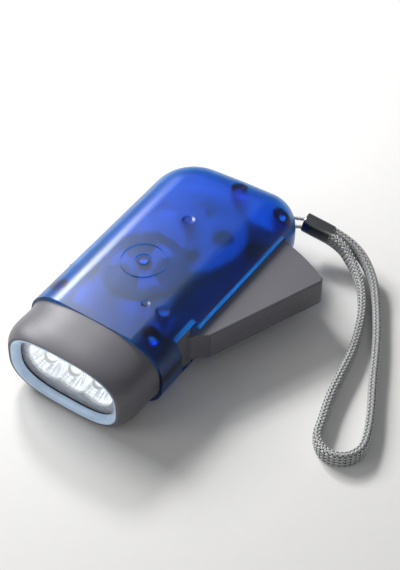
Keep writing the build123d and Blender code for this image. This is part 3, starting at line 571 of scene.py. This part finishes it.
def braided_yarn(name, rgb):
    """Polyester yarn: fine filaments along each yarn, small changes of tone between yarns, and painted shade
    that darkens each yarn towards one edge.
    """
    finish = Finish(name, sheen_weight=0.35, sheen_roughness=0.4, ior=1.45)
    across = finish.part(finish.node("ShaderNodeUVMap"), "X")
    bundle = (across * (math.tau * FILAMENTS)).math("SINE")
    tone_noise = finish.noise(0.0014, detail=3.0)
    # Painted shade: each yarn darkens towards one of its edges
    painted_edge_shade = finish.smooth((across - 0.5).math("ABSOLUTE"), 0.1, 0.5)
    worn = finish.blend(tone_noise, tone(rgb, 0.72), tone(rgb, 1.28))
    finish.set("Base Color", finish.blend(painted_edge_shade, worn, tone(rgb, 0.42)))
    finish.set("Roughness", 0.62 + 0.16 * (tone_noise - 0.5))
    return finish.bump(0.5 + 0.5 * bundle, 0.00004).material


def floor_finish(name, rgb):
    """A plain pale floor with a barely visible tooth."""
    finish = Finish(name, specular_ior_level=0.25)
    tooth = finish.noise(0.004, detail=4.0)
    finish.set("Base Color", finish.blend(tooth, tone(rgb, 0.985), tone(rgb, 1.015)))
    finish.set("Roughness", 0.72 + 0.06 * (tooth - 0.5))
    return finish.material


def paint(material, *nodes):
    """Gives CAD nodes a finish."""
    for name in nodes:
        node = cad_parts[name]
        node.data.materials.clear()
        node.data.materials.append(material)


# Mesh tools ------------------------------------------------------------------------------------------


def smooth_line(points):
    """The smooth line that has these control points, as points read along it."""
    curve = bpy.data.curves.new("route", "CURVE")
    curve.dimensions = "3D"
    curve.resolution_u = ROUTE_STEPS
    spline = curve.splines.new("NURBS")
    spline.points.add(len(points) - 1)
    for knot, spot in zip(spline.points, points):
        knot.co = (*spot, 1.0)
    spline.order_u = 3
    spline.use_endpoint_u = True
    route = bpy.data.objects.new("route", curve)
    bpy.context.scene.collection.objects.link(route)
    read = bpy.data.meshes.new_from_object(route)
    line = [vertex.co.copy() for vertex in read.vertices]
    bpy.data.objects.remove(route)
    bpy.data.meshes.remove(read)
    bpy.data.curves.remove(curve)
    return line


def walk(line, step):
    """Distances, points and directions at even steps along a line."""
    marks = [0.0]
    for here, following in zip(line, line[1:]):
        marks.append(marks[-1] + (following - here).length)
    total = marks[-1]
    count = max(2, round(total / step))
    reached, spots = [], []
    place = 0
    for number in range(count + 1):
        along = total * number / count
        while place < len(line) - 2 and marks[place + 1] < along:
            place += 1
        span = marks[place + 1] - marks[place]
        reached.append(along)
        spots.append(line[place].lerp(line[place + 1], (along - marks[place]) / span))
    ahead = [(spots[min(n + 1, count)] - spots[max(n - 1, 0)]).normalized() for n in range(count + 1)]
    return list(zip(reached, spots, ahead))


def upright_axes(way):
    """The level axis across a direction, and the axis nearest to upright."""
    across = Vector((0, 0, 1)).cross(way).normalized()
    return across, way.cross(across)


def flat_loop(turn, half_thick, half_wide):
    """A point on a flattened round section and its outward direction, by its share of the way round."""
    straight = 2 * (half_wide - half_thick)
    bend = math.pi * half_thick
    run = (turn % 1.0) * 2 * (straight + bend)
    if run < straight:
        return (half_thick, run - straight / 2), (1.0, 0.0)
    run -= straight
    if run < bend:
        bent = run / half_thick
        way = (math.cos(bent), math.sin(bent))
        return (half_thick * way[0], straight / 2 + half_thick * way[1]), way
    run -= bend
    if run < straight:
        return (-half_thick, straight / 2 - run), (-1.0, 0.0)
    bent = math.pi + (run - straight) / half_thick
    way = (math.cos(bent), math.sin(bent))
    return (half_thick * way[0], half_thick * way[1] - straight / 2), way


def oval(half, points, roundness=2.9):
    """Points round the superellipse that the head's sections follow."""
    exponent = 2 / roundness
    ring = []
    for step in range(points):
        turn = math.tau * step / points
        across = math.copysign(abs(math.cos(turn)) ** exponent, math.cos(turn))
        up = math.copysign(abs(math.sin(turn)) ** exponent, math.sin(turn))
        ring.append((half[0] * across, half[1] * up))
    return ring


def head_rings(rows):
    """Rings round the lens, from rows of millimetres beside and above it and a place along the head."""
    low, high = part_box("lens")
    centre, half = (low + high) / 2, (high - low) / 2
    rings = []
    for beside, above, y in rows:
        section = oval((half.x + beside * MM, half.z + above * MM), HEAD_STEPS)
        rings.append([Vector((centre.x + x, y, centre.z + z)) for x, z in section])
    return rings


def new_piece(name, mesh_maker, material, smooth=True):
    """A mesh object filled by a maker, given a finish and fixed to the housing."""
    mesh = bpy.data.meshes.new(name)
    build = bmesh.new()
    mesh_maker(build)
    bmesh.ops.recalc_face_normals(build, faces=build.faces)
    build.to_mesh(mesh)
    build.free()
    for face in mesh.polygons:
        face.use_smooth = smooth
    mesh.materials.append(material)
    piece = bpy.data.objects.new(name, mesh)
    bpy.context.scene.collection.objects.link(piece)
    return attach(piece, "housing")


def skin(build, rings, closed_ends=True):
    """Joins rings of points into a tube, with a map of its width and length."""
    layer = build.loops.layers.uv.verify()
    rows = [[build.verts.new(spot) for spot in ring] for ring in rings]
    count = len(rows[0])
    for row, (low, high) in enumerate(zip(rows, rows[1:])):
        for side in range(count):
            after = (side + 1) % count
            face = build.faces.new((low[side], low[after], high[after], high[side]))
            corners = ((side, row), (side + 1, row), (side + 1, row + 1), (side, row + 1))
            for loop, (across, along) in zip(face.loops, corners):
                loop[layer].uv = (across / count, along * 0.1)
    if closed_ends:
        build.faces.new(reversed(rows[0]))
        build.faces.new(rows[-1])


def lathe(build, centre, profile, steps):
    """Turns a profile of radius and depth about a line that runs along the torch."""
    turns = [math.tau * step / steps for step in range(steps)]
    rings = []
    for radius, depth in profile:
        ring = [Vector((radius * math.cos(turn), depth, radius * math.sin(turn))) for turn in turns]
        rings.append([centre + spot for spot in ring])
    skin(build, rings)


def ray(turn, side, up):
    """The direction at an angle from the first of two axes towards the second."""
    return side * math.cos(turn) + up * math.sin(turn)


# Pieces ----------------------------------------------------------------------------------------------


class TORCH_OT_housing(bpy.types.Operator):
    """Give the two shells their frosted translucent blue"""

    bl_idname = "torch.housing"
    bl_label = "Finish the housing"

    def execute(self, context):
        settings = context.scene.torch_housing
        paint(frosted_shell("frosted_blue_roof", settings, POST_MARKS), "upper_shell")
        paint(frosted_shell("frosted_blue_base", settings), "lower_shell")
        return {"FINISHED"}


class TORCH_OT_mouldings(bpy.types.Operator):
    """Give the head, the lever, the knob and the gears their moulded plastics"""

    bl_idname = "torch.mouldings"
    bl_label = "Finish the mouldings"

    def execute(self, context):
        settings = context.scene.torch_plastic
        seam = middle("head_bezel").z
        grey = moulded_plastic("grey_moulding", settings.grey, settings.grain, 0.42, seam=seam)
        paint(grey, "head_bezel", "lever")
        paint(moulded_plastic("pale_knob", settings.knob, settings.grain, 0.42), "switch_knob")
        nylon = moulded_plastic("white_nylon", settings.nylon, settings.grain * 2, 0.38, 0.00002)
        paint(nylon, "sector_gear", "drive_pinion", "reduction_gear", "flywheel_hub", "coil_bobbin")
        return {"FINISHED"}


class TORCH_OT_metals(bpy.types.Operator):
    """Give the pins, screws, flywheel and dynamo their metals"""

    bl_idname = "torch.metals"
    bl_label = "Finish the metals"

    def execute(self, context):
        metal = context.scene.torch_metal
        fly = middle("flywheel_shaft")
        paint(turned_metal("turned_flywheel", metal.blackened, fly, roughness=0.36), "flywheel")
        paint(turned_metal("turned_shaft", metal.steel, fly), "flywheel_shaft", "rotor_magnet")
        paint(turned_metal("turned_bush", metal.brass, fly, roughness=0.25), "axle_bushes")
        paint(turned_metal("turned_gear_axle", metal.steel, middle("gear_axle")), "gear_axle")
        paint(turned_metal("turned_hinge_pin", metal.steel, middle("hinge_pin")), "hinge_pin")
        bright = plain_metal("bright_steel", metal.steel, 0.26, (1, 1, 0.15))
        paint(bright, "housing_screws", "sector_rivets", "ratchet_pawls", "return_spring", "battery_cells")
        plates = plain_metal("stamped_plate", tone(metal.steel, 0.8), 0.34, (1, 0.2, 1))
        paint(plates, "claw_plate_lower", "claw_plate_upper")
        paint(plain_metal("sheet_brass", metal.brass, 0.3, (0.2, 1, 1)), "battery_contacts", "switch_lugs")
        paint(copper_winding("copper_winding", metal.copper, fly), "stator_coil")
        return {"FINISHED"}


class TORCH_OT_optics(bpy.types.Operator):
    """Give the lens, reflector and gasket their finishes, and light the three LEDs"""

    bl_idname = "torch.optics"
    bl_label = "Finish and light the head"

    def execute(self, context):
        lamp = context.scene.torch_lamp
        pane = new_piece("clear_pane", self.pane, clear_plastic("clear_lens"), smooth=False)
        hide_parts("lens")
        leds = ("led_left", "led_centre", "led_right")
        cups = [tuple(middle(led)) for led in leds]
        plating = context.scene.torch_metal.plating
        paint(mirror_plating("mirror_plating", plating, lamp, cups), "reflector")
        paint(soft_rubber("dark_gasket", (0.03, 0.04, 0.06)), "lens_gasket")
        new_piece("lens_rim", self.rim, lit_rim("lit_rim", lamp))
        paint(lit_epoxy("lit_epoxy", lamp), *leds)
        phosphor = lit_phosphor("lit_phosphor", lamp)
        outline = [(0.3, 0.0), (1.0, 0.0001), (1.05, 0.0005), (0.4, 0.0008)]
        profile = [(lamp.die_radius * wide, deep) for wide, deep in outline]
        for led in leds:
            low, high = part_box(led)
            centre = Vector(((low.x + high.x) / 2, low.y + DIE_DEPTH, (low.z + high.z) / 2))

            def die(build, at=centre):
                lathe(build, at, profile, DIE_STEPS)

            new_piece(f"{led}_die", die, phosphor)
        return {"FINISHED"}

    def rim(self, build):
        """The ring that lines the lip, from its outer edge in to the gasket, bright with a painted glow."""
        low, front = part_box("lens_gasket")[0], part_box("head_bezel")[0].y
        rows = [
            (1.25, 0.75, front + 0.0003),
            (1.2, 0.7, front - 0.00008),
            (0.85, 0.12, front - 0.00006),
            (-1.0, -1.0, low.y - 0.0003),
            (-1.15, -1.15, low.y + 0.0001),
            (-1.0, -1.0, low.y + 0.0002),
        ]
        rings = head_rings(rows)
        skin(build, rings + rings[:1], closed_ends=False)

    def pane(self, build):
        """The clear window, with its edges rounded and its back just clear of the plated cups."""
        front, back = (corner.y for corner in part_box("lens"))
        rows = [(-0.3, -0.3, front), (0.0, 0.0, front + 0.0003)]
        rows += [(0.0, 0.0, back - 0.0004), (-0.2, -0.2, back - 0.0002)]
        skin(build, head_rings(rows))


class TORCH_OT_electronics(bpy.types.Operator):
    """Give the board, its parts, the switch and the leads their finishes"""

    bl_idname = "torch.electronics"
    bl_label = "Finish the electronics"

    def execute(self, context):
        grain = context.scene.torch_plastic.grain
        paint(circuit_board("green_board"), "led_board")
        black = moulded_plastic("black_moulding", (0.022, 0.022, 0.025), grain, 0.34)
        paint(black, "switch_housing", "capacitor")
        paint(moulded_plastic("diode_case", (0.03, 0.03, 0.034), grain, 0.22), "rectifier_diodes")
        paint(soft_rubber("red_insulation", (0.5, 0.03, 0.025)), "coil_leads")
        paint(soft_rubber("black_insulation", (0.025, 0.025, 0.028)), "switch_leads")
        return {"FINISHED"}


class TORCH_OT_strap(bpy.types.Operator):
    """Braid the wrist strap, twist its tether and shape the tube that crimps them"""

    bl_idname = "torch.strap"
    bl_label = "Braid the strap"

    def execute(self, context):
        settings = context.scene.torch_strap
        step = settings.lay / (4 * settings.yarns)
        line = smooth_line(metres(STRAP_ROUTE))
        stations = walk(line, step)
        half_thick, half_wide = settings.thickness / 2, settings.width / 2
        perimeter = math.tau * half_thick + 4 * (half_wide - half_thick)
        slant = math.atan(perimeter / settings.lay)
        yarn_half = YARN_FILL / 2 * perimeter / settings.yarns * math.cos(slant)
        rise = settings.yarn_rise

        def yarn(build, number, way):
            rings = []
            for along, spot, ahead in stations:
                across, up = upright_axes(ahead)
                turn = number / settings.yarns + way * along / settings.lay
                (x, y), (nx, ny) = flat_loop(turn, half_thick, half_wide)
                over = way * rise * math.cos(math.tau * settings.yarns * along / settings.lay)
                outward = across * nx + up * ny
                centre = spot + across * x + up * y + outward * over
                around = (up * nx - across * ny) * way
                sideways = (around - ahead * (perimeter / settings.lay)).normalized() * yarn_half
                below, above = outward * rise * YARN_BELOW, outward * rise * YARN_ABOVE
                rings.append([centre - sideways, centre - below, centre + sideways, centre + above])
            skin(build, rings, closed_ends=False)

        def braid(build):
            for number in range(settings.yarns):
                yarn(build, number, 1)
                yarn(build, number + 0.5, -1)

        material = braided_yarn("braided_yarn", settings.yarn)
        strap = new_piece("braided_strap", braid, material)
        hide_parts("strap_loop")

        # The core inside the braid is far darker than the yarn: painted shade seen through the gaps between
        # the yarns
        def core(build):
            rings = []
            for _, spot, ahead in stations[::3]:
                across, up = upright_axes(ahead)
                turns = [n / CORE_STEPS for n in range(CORE_STEPS)]
                ring = [flat_loop(turn, half_thick - rise, half_wide - rise)[0] for turn in turns]
                rings.append([spot + across * x + up * y for x, y in ring])
            skin(build, rings)

        painted_shade_core = new_piece("strap_core", core, soft_rubber("strap_core", tone(settings.yarn, 0.3)))
        tether = self.tether(settings)
        crimp = self.crimp(context.scene.torch_metal)
        return {"FINISHED"}

    def crimp(self, metal):
        """The tube crimped over both ends of the strap: a rounded section, with its mouths turned in."""
        start, end = metres(CRIMP_ENDS)
        along = (end - start).normalized()
        across, up = upright_axes(along)
        run = (end - start).length
        rows = [(0.0015, 0.8), (0.0, 0.84), (0.0, 0.93), (0.00012, 0.98), (0.0004, 1.0)]
        rows += [(run - at, size) for at, size in reversed(rows)]

        def tube(build):
            rings = []
            for at, size in rows:
                section = oval((CRIMP_HALF[0] * size, CRIMP_HALF[1] * size), CRIMP_STEPS)
                rings.append([start + along * at + across * x + up * y for x, y in section])
            skin(build, rings, closed_ends=False)

        plating = plain_metal("dark_plating", tone(metal.plating, 0.36), 0.2, (0.2, 0.2, 1))
        piece = new_piece("crimped_tube", tube, plating)
        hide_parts("strap_ferrule")
        return piece

    def tether(self, settings):
        """Three plies twisted round the tether's line."""
        stations = walk(smooth_line(metres(TETHER_ROUTE)), TETHER_STEP)
        ply = settings.tether_radius * PLY_SHARE

        turns = [math.tau * step / PLY_STEPS for step in range(PLY_STEPS)]

        def plies(build):
            for number in range(PLIES):
                rings = []
                for along, spot, ahead in stations:
                    up = ahead.cross(TETHER_SIDE).normalized()
                    twist = math.tau * (number / PLIES + along / settings.tether_twist)
                    centre = spot + ray(twist, TETHER_SIDE, up) * ply * PLY_OFFSET
                    rings.append([centre + ray(turn, TETHER_SIDE, up) * ply for turn in turns])
                skin(build, rings)

        yarn = braided_yarn("tether_yarn", tone(settings.yarn, 1.1))
        piece = new_piece("twisted_tether", plies, yarn)
        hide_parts("strap_tether")
        return piece


class TORCH_OT_stage(bpy.types.Operator):
    """Set the floor, the lamps, the surrounding light and the camera"""

    bl_idname = "torch.stage"
    bl_label = "Set the stage"

    def execute(self, context):
        stage = context.scene.torch_stage
        self.floor(stage)
        self.lamp("key", (-0.52, 0.08, 0.44), stage.key, (0.3, 0.3))
        self.lamp("glint", (-0.21, 0.135, 0.235), stage.glint, (0.06, 0.06))
        self.lamp("fill", (0.5, -0.3, 0.6), stage.fill, (0.6, 0.6))
        self.lamp("rim", (-0.3, -0.45, 0.35), stage.rim, (0.3, 0.3))
        self.sky(context.scene, stage)
        self.camera(context.scene, stage)
        context.scene.view_settings.view_transform = "Standard"
        return {"FINISHED"}

    def floor(self, stage):
        """A floor whose edges lie outside the picture."""
        mesh = bpy.data.meshes.new("floor")
        edge = 1.6
        corners = [(-edge, -edge, 0), (edge, -edge, 0), (edge, edge, 0), (-edge, edge, 0)]
        mesh.from_pydata(corners, [], [(0, 1, 2, 3)])
        mesh.materials.append(floor_finish("pale_floor", stage.floor))
        floor = bpy.data.objects.new("floor", mesh)
        bpy.context.scene.collection.objects.link(floor)

    def lamp(self, name, spot, energy, size):
        """A flat lamp that faces the torch."""
        data = bpy.data.lights.new(name, "AREA")
        data.shape = "RECTANGLE"
        data.size, data.size_y = size
        data.energy = energy
        lamp = bpy.data.objects.new(name, data)
        lamp.location = spot
        lamp.rotation_euler = (TARGET - Vector(spot)).to_track_quat("-Z", "Y").to_euler()
        bpy.context.scene.collection.objects.link(lamp)

    def sky(self, scene, stage):
        """An even, slightly blue light from all round."""
        world = bpy.data.worlds.new("studio")
        world.use_nodes = True
        background = world.node_tree.nodes["Background"]
        background.inputs["Color"].default_value = (0.92, 0.95, 1.0, 1.0)
        background.inputs["Strength"].default_value = stage.sky
        scene.world = world

    def camera(self, scene, stage):
        """A long lens that looks down on the torch from its front right."""
        level, high = math.cos(stage.elevation), math.sin(stage.elevation)
        way = Vector((level * math.sin(stage.azimuth), -level * math.cos(stage.azimuth), high))
        data = bpy.data.cameras.new("camera")
        data.sensor_fit = "VERTICAL"
        data.sensor_height = 36.0
        data.lens = stage.focal
        data.clip_start = 0.01
        camera = bpy.data.objects.new("camera", data)
        camera.location = TARGET + way * stage.distance
        camera.rotation_euler = (-way).to_track_quat("-Z", "Y").to_euler()
        scene.collection.objects.link(camera)
        scene.camera = camera


OPERATORS = [
    TORCH_OT_housing,
    TORCH_OT_mouldings,
    TORCH_OT_metals,
    TORCH_OT_optics,
    TORCH_OT_electronics,
    TORCH_OT_strap,
    TORCH_OT_stage,
]


class TORCH_PT_panel(bpy.types.Panel):
    """The torch's settings, and a button for each of its groups of pieces"""

    bl_idname = "TORCH_PT_panel"
    bl_label = "Squeeze-Lever Torch"
    bl_space_type = "VIEW_3D"
    bl_region_type = "UI"
    bl_category = "Torch"

    def draw(self, context):
        for operator in OPERATORS:
            self.layout.operator(operator.bl_idname)
        for name, group in SETTINGS.items():
            box = self.layout.box()
            box.label(text=group.__doc__)
            for key in group.__annotations__:
                box.prop(getattr(context.scene, name), key)


def register():
    for group in SETTINGS.values():
        bpy.utils.register_class(group)
    for operator in OPERATORS:
        bpy.utils.register_class(operator)
    bpy.utils.register_class(TORCH_PT_panel)
    for name, group in SETTINGS.items():
        setattr(bpy.types.Scene, name, PointerProperty(type=group))


def unregister():
    for name in SETTINGS:
        delattr(bpy.types.Scene, name)
    bpy.utils.unregister_class(TORCH_PT_panel)
    for operator in reversed(OPERATORS):
        bpy.utils.unregister_class(operator)
    for group in reversed(SETTINGS.values()):
        bpy.utils.unregister_class(group)


def main():
    register()
    bpy.ops.torch.housing()
    bpy.ops.torch.mouldings()
    bpy.ops.torch.metals()
    bpy.ops.torch.optics()
    bpy.ops.torch.electronics()
    bpy.ops.torch.strap()
    bpy.ops.torch.stage()


if __name__ == "__main__":
    main()
